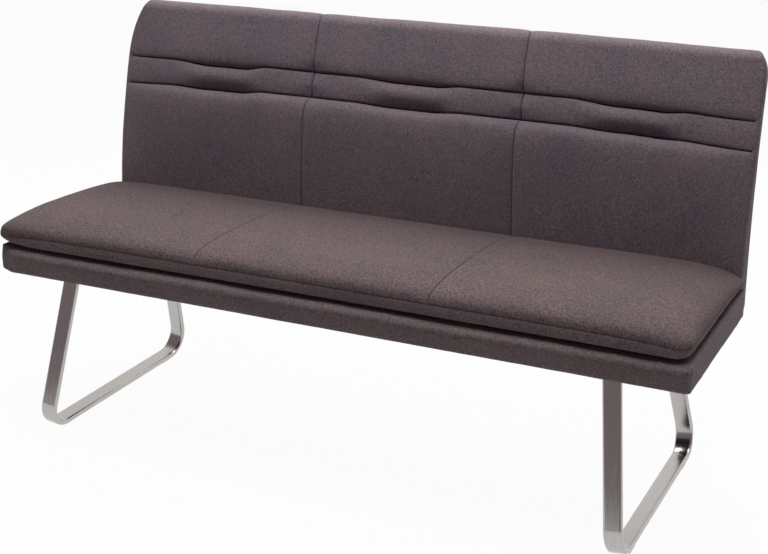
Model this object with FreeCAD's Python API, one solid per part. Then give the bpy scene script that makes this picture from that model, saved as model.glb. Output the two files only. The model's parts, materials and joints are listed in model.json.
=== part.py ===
"""Upholstered dining bench on two leaning steel leg loops.

Lengths are in millimetres. X runs along the bench, Y from its front to its back, Z up from the floor.
Pieces are placed with Y zero at the seat base's front face. centre_on_floor() then moves the whole bench
so that the origin is on the floor under the middle of its box.
"""

import FreeCAD
import Part
import math
import os

V = FreeCAD.Vector

# Overall
bench_length = 1550.0
leg_frame_height = 360.0
seat_base_depth = 443.0
seat_base_height = 64.0

# Cloth, gaps and cuts that many pieces share
fabric_thickness = 1.5
soft_clearance = 0.3
hole_clearance = 0.3
seam_gap = 0.8
cut_overrun = 30.0

# Leg loops of flat tube
tube_width = 38.0
tube_thickness = 13.0
tube_corner = 5.5
tube_wall = 1.5
tube_bend_radius = 48.0
leg_splay_deg = 7.5
front_leg_lean_deg = 13.0
rear_leg_lean_deg = 18.0
front_leg_inset = 50.0
rear_leg_inset = 37.0
leg_end_inset = 157.0

# Floor glides
glide_least_thickness = 2.5
glide_width = 27.0
glide_length = 34.0
glide_bend_gap = 2.0
glide_stud_radius = 3.5
glide_stud_length = 6.0

# Leg plates and their screws
plate_thickness = 4.0
plate_width = 74.0
plate_end_margin = 26.0
plate_corner = 10.0
plate_screw_gauge = 52.0
plate_screw_row_shares = (0.2, 0.5, 0.8)
screw_radius = 3.0
screw_length = 24.0
screw_head_radius = 6.0
screw_head_height = 3.2
screw_socket_radius = 2.3
screw_socket_depth = 1.8

# Seat frame
rail_thickness = 22.0
cross_rail_width = 84.0
cross_rail_height = 30.0
centre_rail_drop = 12.0
corner_block_leg = 64.0
corner_block_height = 20.0
webbing_thickness = 2.0
webbing_width = 60.0
webbing_count = 14
webbing_end_gap = 40.0
dust_cover_thickness = 0.8
dust_cover_inset = 14.0

# Seat base padding and cover
padding_thickness = 9.0
base_corner_radius = 13.0
base_top_edge_radius = 10.0
base_bottom_edge_radius = 4.0
cover_fold = 46.0

# Seat cushion: a foam block in a sewn cover with a border band
cushion_overhang = 12.0
cushion_back_gap = 0.6
cushion_seam_rise = 29.0
cushion_crown_rise = 30.0
cushion_border_tuck = 15.0
cushion_corner_radius = 40.0
cushion_draw_in = 5.0
cushion_seam_x = 265.0
crown_front_share = 0.2
crown_rear_share = 0.57
crown_end_reach = 34.0
crown_corner_share = 0.4
border_rise_shares = (0.0, 0.35, 0.7)
border_tuck_shares = (1.0, 0.42, 0.1)
crown_turns_deg = (0.0, 22.0, 44.0, 64.0, 78.0, 90.0)

# Back rest: its layers follow one arc that leans further back towards the top
back_arc_radius = 1500.0
back_bottom_drop = 4.0
back_shoulder_length = 519.0
back_top_round = 28.0
back_cap_drop = 9.0
back_thickness = 56.0
back_end_inset = 11.0
back_taper_deg = 1.1
back_corner_radius = 42.0
back_seam_x = 260.0

# Back rest cover: three columns of sewn panels, each with two horizontal pleats
panel_depth = 12.0
panel_end_reach = 14.0
panel_seam_reach = 34.0
panel_end_sink_share = 0.5
panel_seam_sink_share = 0.25
panel_edge_sink_share = 0.75
panel_station_shares = (0.0, 0.01, 0.028, 0.07, 0.24, 0.37, 0.5, 0.63, 0.76, 0.93, 0.972, 0.99, 1.0)
lower_pleat_length = 347.5
upper_pleat_length = 406.5
lower_pleat_droop = 4.0
upper_pleat_droop = 8.0
pleat_open_share = 0.52
lower_bulge = 23.0
bulge_end_reach = 120.0
bulge_place_share = 0.77
bulge_rise_share = 0.75
bulge_fall_share = 0.75
rear_cover_depth = 5.0
gusset_thickness = 8.0

# Back rest core
back_foam_depth = 12.0
back_board_thickness = 6.0
back_frame_thickness = 18.0
back_rail_length = 60.0
back_upright_width = 46.0
mount_rail_length = 62.0

# Bolts that join the back rest to the seat frame
bolt_radius = 4.0
bolt_head_radius = 6.5
bolt_head_height = 5.5
bolt_socket_radius = 3.4
bolt_socket_depth = 3.0
bolt_place_shares = (-0.66, -0.26, 0.26, 0.66)
washer_radius = 12.0
washer_thickness = 2.0
nut_flange_radius = 10.0
nut_flange_thickness = 1.0
nut_barrel_radius = 5.2
nut_barrel_length = 9.0

# Heights and places worked out from the sizes above
base_bottom = leg_frame_height + plate_thickness
cover_bottom = base_bottom + dust_cover_thickness
base_top = base_bottom + seat_base_height
frame_bottom = cover_bottom + fabric_thickness
webbing_top = base_top - fabric_thickness - soft_clearance
frame_top = webbing_top - webbing_thickness
base_half = bench_length / 2
back_half_width = base_half - back_end_inset
frame_half = base_half - fabric_thickness - soft_clearance - padding_thickness
frame_front = fabric_thickness + soft_clearance + padding_thickness
rail_inner_front = frame_front + rail_thickness
rail_inner_rear = seat_base_depth - rail_thickness
cushion_bottom = base_top + soft_clearance
cushion_seam = cushion_bottom + cushion_seam_rise
back_front = seat_base_depth + soft_clearance
cushion_depth = back_front - cushion_back_gap + cushion_overhang
crown_front_reach = crown_front_share * cushion_depth
crown_rear_reach = crown_rear_share * cushion_depth
back_arc_height = base_bottom
back_arc_centre = back_front + back_arc_radius
foam_front = panel_depth + soft_clearance
foam_rear = foam_front + back_foam_depth
board_front = foam_rear + soft_clearance
board_rear = board_front + back_board_thickness
back_frame_front = board_rear + soft_clearance
back_frame_rear = back_frame_front + back_frame_thickness
rear_cover_front = back_thickness - rear_cover_depth
core_half = back_half_width - gusset_thickness - soft_clearance
back_bottom = -back_bottom_drop
core_bottom = back_bottom + fabric_thickness + soft_clearance
back_cap = back_shoulder_length - back_cap_drop
core_top = back_cap - soft_clearance
leg_top_x = base_half - leg_end_inset
leg_splay = math.radians(leg_splay_deg)


def block(x_low, x_high, y_low, y_high, z_low, z_high):
    """A plain box between two corners."""
    return Part.makeBox(x_high - x_low, y_high - y_low, z_high - z_low, V(x_low, y_low, z_low))


def mirrored(shape):
    """The same piece for the other end of the bench."""
    return shape.mirror(V(0, 0, 0), V(1, 0, 0))


def rod(radius, start, direction, length):
    """A round bar or a drill."""
    return Part.makeCylinder(radius, length, start, direction)


def hex_socket(radius, start, side, direction, length):
    """A hexagonal recess along a direction, with one corner towards side."""
    across = direction.cross(side)
    turns = [math.radians(60 * k) for k in range(7)]
    corners = [start + side * (radius * math.cos(t)) + across * (radius * math.sin(t)) for t in turns]
    return Part.Face(Part.makePolygon(corners)).extrude(direction * length)


def trimmed(shape, z_low, z_high):
    """The part of a shape between two heights."""
    box = shape.BoundBox
    slab = block(box.XMin - cut_overrun, box.XMax + cut_overrun, box.YMin - cut_overrun,
                 box.YMax + cut_overrun, z_low, z_high)
    return shape.common(slab)


# Leg loops

def rounded_section(centre, across, along, width, height, radius):
    """A rounded rectangle about centre, in the plane of two unit directions."""
    inner_w = width / 2 - radius
    inner_h = height / 2 - radius
    bow = radius * math.cos(math.pi / 4)

    def at(u, v):
        return centre + across * u + along * v

    edges = []
    last = None
    for su, sv, first_on_side in ((1, 1, True), (-1, 1, False), (-1, -1, True), (1, -1, False)):
        on_side = at(su * (inner_w + radius), sv * inner_h)
        on_flat = at(su * inner_w, sv * (inner_h + radius))
        middle = at(su * (inner_w + bow), sv * (inner_h + bow))
        start, end = (on_side, on_flat) if first_on_side else (on_flat, on_side)
        if last is not None:
            edges.append(Part.LineSegment(last, start).toShape())
        edges.append(Part.Arc(start, middle, end).toShape())
        last = end
    edges.append(Part.LineSegment(last, edges[0].Vertexes[0].Point).toShape())
    return Part.Wire(edges)


def bent_path(corners, radius):
    """Straight runs between corners, joined by tangent arcs of one radius."""
    edges = []
    last = corners[0]
    for before, corner, after in zip(corners, corners[1:], corners[2:]):
        back = (before - corner).normalize()
        onward = (after - corner).normalize()
        half = math.acos(back.dot(onward)) / 2
        reach = radius / math.tan(half)
        inward = (back + onward).normalize()
        middle = corner + inward * (radius / math.sin(half) - radius)
        start = corner + back * reach
        end = corner + onward * reach
        edges.append(Part.LineSegment(last, start).toShape())
        edges.append(Part.Arc(start, middle, end).toShape())
        last = end
    edges.append(Part.LineSegment(last, corners[-1]).toShape())
    return Part.Wire(edges)


def loop_lift():
    """How far the middle of the leaning runner's underside stands above the floor."""
    rounding = tube_corner * (math.sin(leg_splay) + math.cos(leg_splay) - 1)
    return glide_least_thickness + tube_width / 2 * math.sin(leg_splay) - rounding


def loop_plate_reach():
    """Distance up the loop's own plane from the runner's underside to the leg plate."""
    return (leg_frame_height - loop_lift()) / math.cos(leg_splay)


def leg_line(reach):
    """Where the front and the rear leg's centrelines are, at a distance up the loop's plane."""
    down = loop_plate_reach() - reach
    front = front_leg_inset - down * math.tan(math.radians(front_leg_lean_deg))
    rear = seat_base_depth - rear_leg_inset + down * math.tan(math.radians(rear_leg_lean_deg))
    return front, rear


def loop_path():
    """The tube's centreline in the loop's own plane, from the front leg to the rear one."""
    top = loop_plate_reach() + cut_overrun
    run = tube_thickness / 2
    top_front, top_rear = leg_line(top)
    run_front, run_rear = leg_line(run)
    corners = [V(0, top_front, top), V(0, run_front, run), V(0, run_rear, run), V(0, top_rear, top)]
    return bent_path(corners, tube_bend_radius)


def glide_places():
    """The middles of the front and the rear glide along the runner's straight stretch."""
    runner = loop_path().Edges[2]
    start, end = sorted(v.Point.y for v in runner.Vertexes)
    inset = glide_bend_gap + glide_length / 2
    return start + inset, end - inset


def swept_bar(width, thickness, corner):
    """A solid bar of the tube's outer or inner section along the loop."""
    path = loop_path()
    first = path.Edges[0]
    across = V(1, 0, 0)
    along = across.cross(first.tangentAt(first.FirstParameter))
    section = rounded_section(first.Vertexes[0].Point, across, along, width, thickness, corner)
    return path.makePipeShell([section], True, False)


def stood_up(shape):
    """A shape from the loop's own plane, leaned and moved to the right-hand loop's place."""
    foot_x = leg_top_x + loop_plate_reach() * math.sin(leg_splay)
    placed = shape.copy()
    placed.rotate(V(0, 0, 0), V(0, 1, 0), -leg_splay_deg)
    placed.translate(V(foot_x, 0, loop_lift()))
    return placed


def leg_loop():
    """One bent tube, open at its two top ends, drilled for the glides' studs."""
    bore = 2 * tube_wall
    tube = swept_bar(tube_width, tube_thickness, tube_corner)
    tube = tube.cut(swept_bar(tube_width - bore, tube_thickness - bore, tube_corner - tube_wall))
    for place in glide_places():
        start = V(0, place, -cut_overrun)
        tube = tube.cut(rod(glide_stud_radius + hole_clearance, start, V(0, 0, 1), cut_overrun + bore))
    return trimmed(stood_up(tube), 0, leg_frame_height)


def glide(place):
    """A wedge under the leaning runner, flat on the floor, with a stud in the tube."""
    half_w = glide_width / 2
    half_l = glide_length / 2
    foot = block(-half_w, half_w, place - half_l, place + half_l, -cut_overrun, 0)
    stud = rod(glide_stud_radius, V(0, place, 0), V(0, 0, 1), glide_stud_length)
    return trimmed(stood_up(foot.fuse(stud)), 0, leg_frame_height)


# Leg plates and screws

def plate_span():
    """Front and rear ends of a leg plate."""
    front = front_leg_inset - plate_end_margin
    rear = seat_base_depth - rear_leg_inset + plate_end_margin
    return front, rear


def plate_screw_places():
    """Screw places on the underside of the right-hand leg plate."""
    front, rear = plate_span()
    rows = [front + share * (rear - front) for share in plate_screw_row_shares]
    sides = (-plate_screw_gauge / 2, plate_screw_gauge / 2)
    return [V(leg_top_x + side, row, leg_frame_height) for row in rows for side in sides]


def drilled_for_plate_screws(shape):
    """A piece with a hole for every screw of both leg plates."""
    for place in plate_screw_places():
        for side in (1, -1):
            start = V(side * place.x, place.y, place.z - cut_overrun)
            length = cut_overrun + screw_length + hole_clearance
            shape = shape.cut(rod(screw_radius + hole_clearance, start, V(0, 0, 1), length))
    return shape


def leg_plate():
    """A steel plate welded across the tops of a loop's two legs."""
    front, rear = plate_span()
    half = plate_width / 2
    plate = block(leg_top_x - half, leg_top_x + half, front, rear, leg_frame_height, base_bottom)
    upright = [e for e in plate.Edges if e.BoundBox.ZLength > plate_thickness / 2]
    return drilled_for_plate_screws(plate.makeFillet(plate_corner, upright))


def plate_screws():
    """Socket-head wood screws, driven up through the plate into the cross rail."""
    up = V(0, 0, 1)
    screws = []
    for place in plate_screw_places():
        under = place - up * screw_head_height
        head = rod(screw_head_radius, under, up, screw_head_height)
        shank = rod(screw_radius, place, up, screw_length)
        socket = hex_socket(screw_socket_radius, under, V(1, 0, 0), up, screw_socket_depth)
        screws.append(head.fuse(shank).cut(socket))
    return Part.makeCompound(screws)


# Seat frame

def bolt_places():
    """Where the back rest's bolts come out of the rear rail, inside the seat."""
    height = (frame_bottom + frame_top) / 2
    return [V(share * base_half, rail_inner_rear, height) for share in bolt_place_shares]


def drilled_for_bolts(shape, radius):
    """A piece with a hole for every back rest bolt."""
    for place in bolt_places():
        start = place - V(0, cut_overrun, 0)
        length = cut_overrun + rail_thickness + back_thickness + cut_overrun
        shape = shape.cut(rod(radius, start, V(0, 1, 0), length))
    return shape


def front_rail():
    return block(-frame_half, frame_half, frame_front, rail_inner_front, frame_bottom, frame_top)


def rear_rail():
    rail = block(-frame_half, frame_half, rail_inner_rear, seat_base_depth, frame_bottom, frame_top)
    return drilled_for_bolts(rail, bolt_radius + hole_clearance)


def end_rail():
    """The right-hand end rail, between the long rails."""
    return block(frame_half - rail_thickness, frame_half, rail_inner_front, rail_inner_rear,
                 frame_bottom, frame_top)


def cross_rail():
    """The right-hand cross rail, which the leg plate is screwed to."""
    half = cross_rail_width / 2
    rail = block(leg_top_x - half, leg_top_x + half, rail_inner_front, rail_inner_rear,
                 frame_bottom, frame_bottom + cross_rail_height)
    return drilled_for_plate_screws(rail)


def centre_rail():
    half = rail_thickness / 2
    return block(-half, half, rail_inner_front, rail_inner_rear, frame_bottom, frame_top - centre_rail_drop)


def corner_blocks():
    """Four triangular glue blocks in the frame's upper corners."""
    side = frame_half - rail_thickness
    blocks = []
    for x, y in ((side, rail_inner_front), (side, rail_inner_rear),
                 (-side, rail_inner_front), (-side, rail_inner_rear)):
        corner = V(x, y, frame_top - corner_block_height)
        along_x = V(math.copysign(corner_block_leg, -x), 0, 0)
        along_y = V(0, math.copysign(corner_block_leg, rail_inner_front + rail_inner_rear - 2 * y), 0)
        outline = Part.makePolygon([corner, corner + along_x, corner + along_y, corner])
        blocks.append(Part.Face(outline).extrude(V(0, 0, corner_block_height)))
    return Part.makeCompound(blocks)


def webbing_straps():
    """Elastic straps from the front rail to the rear rail, under the cushion."""
    half = webbing_width / 2
    first = -frame_half + webbing_end_gap + half
    step = -2 * first / (webbing_count - 1)
    middles = [first + step * k for k in range(webbing_count)]
    straps = [block(m - half, m + half, frame_front, seat_base_depth, frame_top, webbing_top) for m in middles]
    return Part.makeCompound(straps)


def dust_cover():
    """Thin black cloth that closes the seat from below."""
    half = base_half - dust_cover_inset
    rear = seat_base_depth - dust_cover_inset
    return drilled_for_plate_screws(block(-half, half, dust_cover_inset, rear, base_bottom, cover_bottom))


# Seat base upholstery

def base_form(inset, z_low, z_high):
    """The seat base's outer form, or one inside it: round front corners, soft top and bottom edges."""
    half = base_half - inset
    solid = block(-half, half, inset, seat_base_depth, z_low, z_high)
    middle = seat_base_depth / 2
    height = z_high - z_low
    corners = [e for e in solid.Edges if e.BoundBox.ZLength > height / 2 and e.BoundBox.YMax < middle]
    solid = solid.makeFillet(base_corner_radius - inset, corners)
    for level, radius in ((z_high, base_top_edge_radius), (z_low, base_bottom_edge_radius)):
        soft = [e for e in solid.Edges
                if abs(e.CenterOfMass.z - level) < fabric_thickness / 2 and e.BoundBox.YMin < middle]
        solid = solid.makeFillet(radius - inset, soft)
    return solid


def seat_base_cover():
    """Cloth round the front and both ends, folded over the frame's top and bottom."""
    outer = base_form(0, cover_bottom, base_top)
    inner = base_form(fabric_thickness, frame_bottom, base_top - fabric_thickness)
    half = base_half - cover_fold
    opening = block(-half, half, cover_fold, seat_base_depth + cut_overrun,
                    cover_bottom - cut_overrun, base_top + cut_overrun)
    return outer.cut(inner).cut(opening)


def seat_base_padding():
    """A foam strip round the front and both ends of the frame."""
    outer = base_form(fabric_thickness + soft_clearance, frame_bottom, frame_top)
    frame = block(-frame_half, frame_half, frame_front, seat_base_depth + cut_overrun,
                  frame_bottom - cut_overrun, frame_top + cut_overrun)
    return outer.cut(frame)


# Seat cushion

def cushion_outline(half, front, rear, radius, z):
    """The cushion's outline at one height: round corners, with sides drawn in between them."""
    bow = radius * (1 - math.cos(math.pi / 4))
    middle = (front + rear) / 2

    def at(x, y):
        return V(x, y, z)

    front_right = [at(half - radius, front), at(half - bow, front + bow), at(half, front + radius)]
    rear_right = [at(half, rear - radius), at(half - bow, rear - bow), at(half - radius, rear)]
    rear_left = [at(radius - half, rear), at(bow - half, rear - bow), at(-half, rear - radius)]
    front_left = [at(-half, front + radius), at(bow - half, front + bow), at(radius - half, front)]
    right_side = [front_right[2], at(half - cushion_draw_in, middle), rear_right[0]]
    rear_side = [rear_right[2], at(0, rear - cushion_draw_in), rear_left[0]]
    left_side = [rear_left[2], at(cushion_draw_in - half, middle), front_left[0]]
    front_side = [front_left[2], at(0, front + cushion_draw_in), front_right[0]]
    arcs = (front_right, right_side, rear_right, rear_side, rear_left, left_side, front_left, front_side)
    return Part.Wire([Part.Arc(*points).toShape() for points in arcs])


def cushion_form(inset, foot):
    """The cushion's outer form, or one inside it, with its border carried straight down to a foot."""
    half = base_half - inset
    front = inset - cushion_overhang
    rear = back_front - cushion_back_gap - inset
    levels = [(cushion_bottom + rise_share * cushion_seam_rise, tuck_share * cushion_border_tuck)
              for rise_share, tuck_share in zip(border_rise_shares, border_tuck_shares)]
    if foot < cushion_bottom:
        levels.insert(0, (foot, levels[0][1]))
    radius = cushion_corner_radius - inset
    wires = [cushion_outline(half - tuck, front + tuck, rear - tuck, radius, z) for z, tuck in levels]
    for turn in (math.radians(t) for t in crown_turns_deg):
        reach = 1 - math.cos(turn)
        z = cushion_seam + (cushion_crown_rise - inset) * math.sin(turn)
        wires.append(cushion_outline(half - reach * crown_end_reach, front + reach * crown_front_reach,
                                     rear - reach * crown_rear_reach,
                                     radius * (1 - reach * (1 - crown_corner_share)), z))
    return Part.makeLoft(wires, True, True)


def cushion_pieces():
    """The cushion's foam and the cloth pieces that are sewn round it."""
    below = cushion_bottom - cut_overrun
    cover = cushion_form(0, cushion_bottom).cut(cushion_form(fabric_thickness, below))
    core = cushion_form(fabric_thickness + soft_clearance, cushion_bottom)
    cloth_top = cushion_bottom + fabric_thickness
    high = cushion_seam + cushion_crown_rise + cut_overrun
    half_gap = seam_gap / 2
    top = trimmed(cover, cushion_seam + half_gap, high)

    def column(x_low, x_high):
        slab = block(x_low, x_high, -cushion_overhang - cut_overrun, back_front + cut_overrun, below, high)
        return top.common(slab)

    inner = cushion_seam_x - half_gap
    outer = cushion_seam_x + half_gap
    end = base_half + cut_overrun
    return {
        "seat_cushion_foam": trimmed(core, cloth_top + soft_clearance, high),
        "seat_cushion_underside_cloth": trimmed(core, below, cloth_top),
        "seat_cushion_border": trimmed(cover, below, cushion_seam - half_gap),
        "seat_cushion_top_left": column(-end, -outer),
        "seat_cushion_top_centre": column(-inner, inner),
        "seat_cushion_top_right": column(outer, end),
    }


# Back rest

def back_point(x, depth, length):
    """A point of the back rest, from a place along the bench at the back's foot, a depth behind the
    front surface and a length up it from the seat base's underside. The sides draw in towards the top."""
    turn = length / back_arc_radius
    radius = back_arc_radius - depth
    z = back_arc_height + radius * math.sin(turn)
    narrowing = math.tan(math.radians(back_taper_deg)) * (z - base_bottom) / back_half_width
    return V(x * (1 - narrowing), back_arc_centre - radius * math.cos(turn), z)


def back_reach(depth, z):
    """How far back a layer of the back rest lies at some height, by its depth behind the front surface."""
    radius = back_arc_radius - depth
    rise = z - back_arc_height
    return back_arc_centre - math.sqrt(radius * radius - rise * rise)


def back_section(x, *runs):
    """A closed section at a place along the bench. Each run starts at its first point, may bend through
    a second one, and ends where the next run starts."""
    edges = []
    for run, following in zip(runs, runs[1:] + runs[:1]):
        points = [back_point(x, *place) for place in run + following[:1]]
        curve = Part.Arc(*points) if len(points) == 3 else Part.LineSegment(*points)
        edges.append(curve.toShape())
    return Part.Wire(edges)


def back_layer(x_low, x_high, depths, lengths):
    """A curved board, rail, foam or cloth piece between two places along the bench."""
    front, rear = depths
    low, high = lengths
    middle = (low + high) / 2
    sections = [
        back_section(x, [(front, low), (front, middle)], [(front, high)], [(rear, high), (rear, middle)],
                     [(rear, low)])
        for x in (x_low, x_high)
    ]
    return Part.makeLoft(sections, True, True)


def panel_columns():
    """The three columns of cover panels, by name."""
    inner = back_seam_x - seam_gap / 2
    outer = back_seam_x + seam_gap / 2
    return {"left": (-back_half_width, -outer), "centre": (-inner, inner), "right": (outer, back_half_width)}


def panel_sink(x, span):
    """How far a cover panel's face sinks in beside a seam, or rounds off at an end of the bench."""
    sink = 0.0
    for side in span:
        away = abs(x - side)
        at_end = abs(side) == back_half_width
        if at_end and away < panel_end_reach:
            round_off = 1 - math.sqrt(1 - (1 - away / panel_end_reach) ** 2)
            sink = panel_depth * panel_end_sink_share * round_off
        if not at_end and away < panel_seam_reach:
            sink = panel_depth * panel_seam_sink_share * (1 - away / panel_seam_reach) ** 2
    return sink


def pleat_at(x, span, length, droop):
    """A pleat's place up the back, lower where it sags in the open middle of its panel."""
    share = (x - span[0]) / (span[1] - span[0])
    into = (share - 0.5) / pleat_open_share
    sag = math.cos(math.pi * into) ** 2 if abs(into) < 0.5 else 0.0
    return length - droop * sag


def panel_stations(span):
    return [span[0] + share * (span[1] - span[0]) for share in panel_station_shares]


def panel_edge(face):
    """How deep a panel's edge is sewn in at a pleat, beside a face at some depth."""
    return face + panel_edge_sink_share * (panel_depth - face)


def bulge_at(x):
    """How far a lower panel's face stands out, which fades towards the ends of the bench."""
    away = min((back_half_width - abs(x)) / bulge_end_reach, 1)
    return lower_bulge * math.sin(math.pi / 2 * away)


def lower_panel(span, high_at):
    """A panel that stands out over its upper half and rounds back into the pleat above it."""
    low = back_bottom
    start = cushion_seam - base_bottom
    sections = []
    for x in panel_stations(span):
        face = panel_sink(x, span)
        bulge = bulge_at(x)
        edge = panel_edge(face)
        high = high_at(x)
        crest = low + bulge_place_share * (high - low)
        rising = (face - bulge_rise_share * bulge, (start + crest) / 2)
        falling = (edge - bulge_fall_share * (edge - face + bulge), (crest + high) / 2)
        sections.append(back_section(
            x, [(face, low), (face, (low + start) / 2)], [(face, start), rising],
            [(face - bulge, crest), falling], [(edge, high)],
            [(panel_depth, high), (panel_depth, (low + high) / 2)], [(panel_depth, low)]))
    return Part.makeLoft(sections, True, True)


def band_panel(span, low_at, high_at):
    """A panel with a crowned face between two pleats."""
    sections = []
    for x in panel_stations(span):
        face = panel_sink(x, span)
        edge = panel_edge(face)
        low = low_at(x)
        high = high_at(x)
        middle = (low + high) / 2
        sections.append(back_section(
            x, [(edge, low), (face, middle)], [(edge, high)],
            [(panel_depth, high), (panel_depth, middle)], [(panel_depth, low)]))
    return Part.makeLoft(sections, True, True)


def cap_panel(span, low_at):
    """An upper panel: its crowned face runs over the top of the back rest to the rear cover."""
    shoulder = back_shoulder_length
    apex = shoulder + back_top_round
    quarter = math.cos(math.pi / 4)
    bend = shoulder + back_top_round * quarter
    half_depth = back_thickness / 2
    sections = []
    for x in panel_stations(span):
        face = panel_sink(x, span)
        edge = panel_edge(face)
        rear = back_thickness - face
        inward = (half_depth - face) * (1 - quarter)
        low = low_at(x)
        sections.append(back_section(
            x, [(edge, low), (face, (low + shoulder) / 2)], [(face, shoulder), (face + inward, bend)],
            [(half_depth, apex), (rear - inward, bend)], [(rear, shoulder)], [(rear, back_cap)],
            [(panel_depth, back_cap), (panel_depth, (low + back_cap) / 2)], [(panel_depth, low)]))
    return Part.makeLoft(sections, True, True)


def rounded_at_top(shape, top):
    """A cover piece with the back rest's two upper corners rounded off."""
    slope = math.tan(math.radians(back_taper_deg))
    low = base_bottom - back_bottom_drop - cut_overrun
    start = top - back_corner_radius
    bow = back_corner_radius * (1 - math.cos(math.pi / 4))

    def side(z):
        return back_half_width + soft_clearance - slope * (z - base_bottom)

    def ends(x, z):
        return V(x, 0, z), V(-x, 0, z)

    foot, left_foot = ends(side(low), low)
    corner, left_corner = ends(side(start), start)
    bend, left_bend = ends(side(start) - bow, top - bow)
    crest, left_crest = ends(side(start) - back_corner_radius, top)
    edges = [
        Part.LineSegment(foot, corner),
        Part.Arc(corner, bend, crest),
        Part.LineSegment(crest, left_crest),
        Part.Arc(left_crest, left_bend, left_corner),
        Part.LineSegment(left_corner, left_foot),
        Part.LineSegment(left_foot, foot),
    ]
    outline = Part.Face(Part.Wire([e.toShape() for e in edges]))
    return shape.common(outline.extrude(V(0, back_arc_centre, 0)))


def back_panels(column, span):
    """One column's three panels: below the pleats, between them, and over the top."""
    half_gap = seam_gap / 2

    def lower_pleat(x):
        return pleat_at(x, span, lower_pleat_length, lower_pleat_droop)

    def upper_pleat(x):
        return pleat_at(x, span, upper_pleat_length, upper_pleat_droop)

    lower = lower_panel(span, lambda x: lower_pleat(x) - half_gap)
    band = band_panel(span, lambda x: lower_pleat(x) + half_gap, lambda x: upper_pleat(x) - half_gap)
    upper = cap_panel(span, lambda x: upper_pleat(x) + half_gap)
    return {
        "back_lower_panel_" + column: drilled_for_bolts(lower, bolt_radius + hole_clearance),
        "back_band_panel_" + column: band,
        "back_upper_panel_" + column: upper,
    }


def back_cover_pieces():
    """The cloth pieces of the back rest, with their wadding."""
    pieces = {}
    for column, span in panel_columns().items():
        pieces.update(back_panels(column, span))
    top = max(piece.BoundBox.ZMax for piece in pieces.values()) + soft_clearance
    depths = (panel_depth + soft_clearance, rear_cover_front - soft_clearance)
    lengths = (back_bottom, back_cap - seam_gap)
    gusset = back_layer(back_half_width - gusset_thickness, back_half_width, depths, lengths)
    pieces["back_right_gusset"] = gusset
    pieces["back_left_gusset"] = mirrored(gusset)
    pieces["back_rear_cover"] = back_layer(
        -back_half_width, back_half_width, (rear_cover_front, back_thickness), lengths)
    for name in ("back_upper_panel_left", "back_upper_panel_right", "back_left_gusset", "back_right_gusset",
                 "back_rear_cover"):
        pieces[name] = rounded_at_top(pieces[name], top)
    pieces["back_underside_cloth"] = back_layer(
        -core_half, core_half, depths, (back_bottom, back_bottom + fabric_thickness))
    return pieces


def back_core_pieces():
    """The foam, the board and the wooden frame inside the back rest."""
    bolt_hole = bolt_radius + hole_clearance
    frame_depths = (back_frame_front, back_frame_rear)
    rail_top = core_bottom + back_rail_length
    rail_bottom = core_top - back_rail_length
    mount_top = core_bottom + mount_rail_length
    mount = back_layer(-core_half, core_half, (foam_front, foam_rear), (core_bottom, mount_top))
    board = back_layer(-core_half, core_half, (board_front, board_rear), (core_bottom, core_top))
    bottom = back_layer(-core_half, core_half, frame_depths, (core_bottom, rail_top))
    pieces = {
        "back_mount_rail": drilled_for_bolts(mount, bolt_hole),
        "back_foam": back_layer(-core_half, core_half, (foam_front, foam_rear),
                                (mount_top + soft_clearance, core_top)),
        "back_board": drilled_for_bolts(board, bolt_hole),
        "back_bottom_rail": drilled_for_bolts(bottom, nut_barrel_radius + hole_clearance),
        "back_top_rail": back_layer(-core_half, core_half, frame_depths, (rail_bottom, core_top)),
    }
    half = back_upright_width / 2
    uprights = {
        "back_left_upright": half - core_half,
        "back_left_centre_upright": -back_seam_x,
        "back_right_centre_upright": back_seam_x,
        "back_right_upright": core_half - half,
    }
    for name, middle in uprights.items():
        pieces[name] = back_layer(middle - half, middle + half, frame_depths, (rail_top, rail_bottom))
    return pieces


# Back rest bolts

def bolts():
    """Socket-head bolts from inside the seat into the nuts in the back rest."""
    rearward = V(0, 1, 0)
    length = washer_thickness + rail_thickness + soft_clearance + back_frame_rear
    made = []
    for place in bolt_places():
        seat = place - rearward * washer_thickness
        front = seat - rearward * bolt_head_height
        head = rod(bolt_head_radius, front, rearward, bolt_head_height)
        shank = rod(bolt_radius, seat, rearward, length)
        socket = hex_socket(bolt_socket_radius, front, V(1, 0, 0), rearward, bolt_socket_depth)
        made.append(head.fuse(shank).cut(socket))
    return Part.makeCompound(made)


def washers():
    rearward = V(0, 1, 0)
    made = []
    for place in bolt_places():
        start = place - rearward * washer_thickness
        ring = rod(washer_radius, start, rearward, washer_thickness)
        made.append(ring.cut(rod(bolt_radius + hole_clearance, start, rearward, washer_thickness)))
    return Part.makeCompound(made)


def barrel_nuts():
    """Flanged nuts let into the rear face of the back rest's bottom rail."""
    rearward = V(0, 1, 0)
    made = []
    for place in bolt_places():
        rail_rear = back_reach(back_frame_rear, place.z + nut_flange_radius)
        flange_front = V(place.x, rail_rear + hole_clearance, place.z)
        barrel_front = flange_front - rearward * nut_barrel_length
        flange = rod(nut_flange_radius, flange_front, rearward, nut_flange_thickness)
        barrel = rod(nut_barrel_radius, barrel_front, rearward, nut_barrel_length)
        bore = rod(bolt_radius + hole_clearance, barrel_front, rearward, nut_barrel_length + nut_flange_thickness)
        made.append(flange.fuse(barrel).cut(bore))
    return Part.makeCompound(made)


# The whole bench

def leg_pieces():
    """Both leg loops with their plates, screws and glides."""
    front_glide, rear_glide = (glide(place) for place in glide_places())
    right = {
        "leg_loop": leg_loop(),
        "leg_plate": leg_plate(),
        "plate_screws": plate_screws(),
        "front_glide": front_glide,
        "rear_glide": rear_glide,
    }
    pieces = {"right_" + name: shape for name, shape in right.items()}
    pieces.update({"left_" + name: mirrored(shape) for name, shape in right.items()})
    return pieces


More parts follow.
